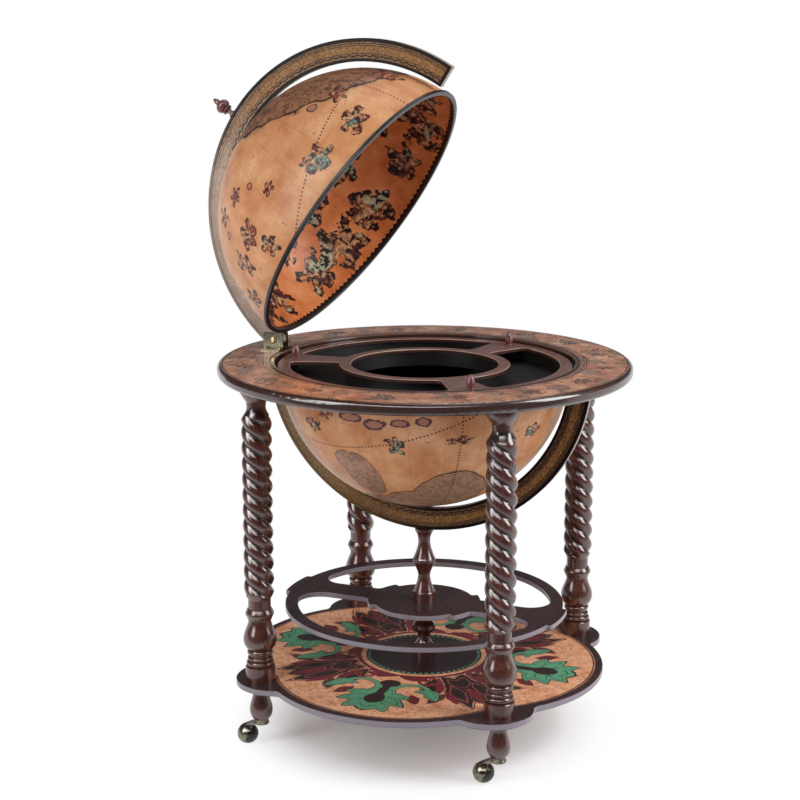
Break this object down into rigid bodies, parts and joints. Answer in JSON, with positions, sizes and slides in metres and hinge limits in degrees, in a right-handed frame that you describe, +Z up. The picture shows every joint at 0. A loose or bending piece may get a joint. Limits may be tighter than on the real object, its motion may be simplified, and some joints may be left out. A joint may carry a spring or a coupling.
{
  "type": "globe bar",
  "caption": "Floor-standing globe bar: hinged half-globe lid, round table ring with lift-out bottle and glass insert, barley-twist legs, shaped shelf and ball casters.",
  "frame": {"origin": "on the floor, straight under the vertical axis of the globe and table", "axes": "+Z up, hinge at the back (+Y), lid opens from the front (-Y) and is modelled open"},
  "size_m": [0.6999, 0.7528, 1.1738],
  "materials": {
    "turned_wood": "turned and polished mahogany lacquer",
    "table_print": "printed top under clear varnish with a dark rounded edge",
    "shelf_print": "printed shelf under clear varnish with a dark border",
    "dark_board": "dark brown lacquered board",
    "insert_wood": "satin mauve-brown lacquer",
    "knob_wood": "turned wine-red lacquer",
    "black_ring": "black satin lacquer",
    "black_tray": "black moulded trough",
    "globe_print": "moulded shell covered with a printed sheet under varnish",
    "lid_edge": "black gloss edging",
    "band_print": "printed band with dark raised borders",
    "well_floor": "dark felt-covered disc",
    "plain_wood": "unfinished wood out of sight",
    "hinge_metal": "antique bronze-plated bracket",
    "bolt_brass": "polished brass",
    "steel": "bright zinc-plated steel",
    "caster_hood": "dark bronze-plated hood",
    "caster_ball": "black moulded wheel"
  },
  "bodies": {
    "stand": {"shelf": "shelf_print", "bottle_ring": "dark_board", "table_top": "table_print", "leg_bolts": "steel", "caster_plates": "steel", "spindle_upper": "turned_wood", "spindle_lower": "turned_wood", "centre_rod": "steel", "rod_nuts": "steel", "rod_washer": "steel", "globe_spacer": "plain_wood", "lower_hemisphere": "globe_print", "lower_band": "band_print", "well_ring": "black_ring", "clamp_block": "plain_wood", "bottle_floor": "well_floor", "band_brackets": "steel", "bracket_screws": "steel", "hinge_bracket": "hinge_metal", "hinge_bolt": "bolt_brass", "hinge_screws": "bolt_brass", "leg_rear_right": "turned_wood", "foot_rear_right": "turned_wood", "leg_rear_left": "turned_wood", "foot_rear_left": "turned_wood", "leg_front_left": "turned_wood", "foot_front_left": "turned_wood", "leg_front_right": "turned_wood", "foot_front_right": "turned_wood"},
    "lid": {"upper_hemisphere": "globe_print", "lid_rim": "lid_edge", "upper_band": "band_print", "hinge_block": "black_ring", "lid_bolts": "steel", "pole_bolt": "steel", "pole_washer": "steel", "pole_spacer": "bolt_brass", "finial": "turned_wood"},
    "insert": {"insert_disc": "insert_wood", "glass_tray": "black_tray", "insert_knobs": "knob_wood"},
    "caster_rear_right": {"caster_hood_rear_right": "caster_hood", "caster_axle_rear_right": "steel"},
    "ball_rear_right": {"caster_ball_rear_right": "caster_ball"},
    "caster_rear_left": {"caster_hood_rear_left": "caster_hood", "caster_axle_rear_left": "steel"},
    "ball_rear_left": {"caster_ball_rear_left": "caster_ball"},
    "caster_front_left": {"caster_hood_front_left": "caster_hood", "caster_axle_front_left": "steel"},
    "ball_front_left": {"caster_ball_front_left": "caster_ball"},
    "caster_front_right": {"caster_hood_front_right": "caster_hood", "caster_axle_front_right": "steel"},
    "ball_front_right": {"caster_ball_front_right": "caster_ball"}
  },
  "joints": [
    {"name": "lid_hinge", "type": "hinge", "parent": "stand", "child": "lid", "pos_m": [0, 0.279, 0.658], "axis": [1, 0, 0], "range_deg": [0, 56.2]},
    {"name": "insert_lift", "type": "slide", "parent": "stand", "child": "insert", "axis": [0, 0, 1], "range_m": [0, 0.006]},
    {"name": "swivel_rear_right", "type": "hinge", "parent": "stand", "child": "caster_rear_right", "pos_m": [0.21241, 0.21241, 0.042], "axis": [0, 0, 1], "continuous": true},
    {"name": "roll_rear_right", "type": "hinge", "parent": "caster_rear_right", "child": "ball_rear_right", "pos_m": [0.20595, 0.2348, 0.0175], "axis": [-0.2471, 0.8561, 0.454], "continuous": true},
    {"name": "swivel_rear_left", "type": "hinge", "parent": "stand", "child": "caster_rear_left", "pos_m": [-0.21241, 0.21241, 0.042], "axis": [0, 0, 1], "continuous": true},
    {"name": "roll_rear_left", "type": "hinge", "parent": "caster_rear_left", "child": "ball_rear_left", "pos_m": [-0.21888, 0.2348, 0.0175], "axis": [-0.2471, 0.8561, 0.454], "continuous": true},
    {"name": "swivel_front_left", "type": "hinge", "parent": "stand", "child": "caster_front_left", "pos_m": [-0.21241, -0.21241, 0.042], "axis": [0, 0, 1], "continuous": true},
    {"name": "roll_front_left", "type": "hinge", "parent": "caster_front_left", "child": "ball_front_left", "pos_m": [-0.21888, -0.19003, 0.0175], "axis": [-0.2471, 0.8561, 0.454], "continuous": true},
    {"name": "swivel_front_right", "type": "hinge", "parent": "stand", "child": "caster_front_right", "pos_m": [0.21241, -0.21241, 0.042], "axis": [0, 0, 1], "continuous": true},
    {"name": "roll_front_right", "type": "hinge", "parent": "caster_front_right", "child": "ball_front_right", "pos_m": [0.20595, -0.19003, 0.0175], "axis": [-0.2471, 0.8561, 0.454], "continuous": true}
  ]
}
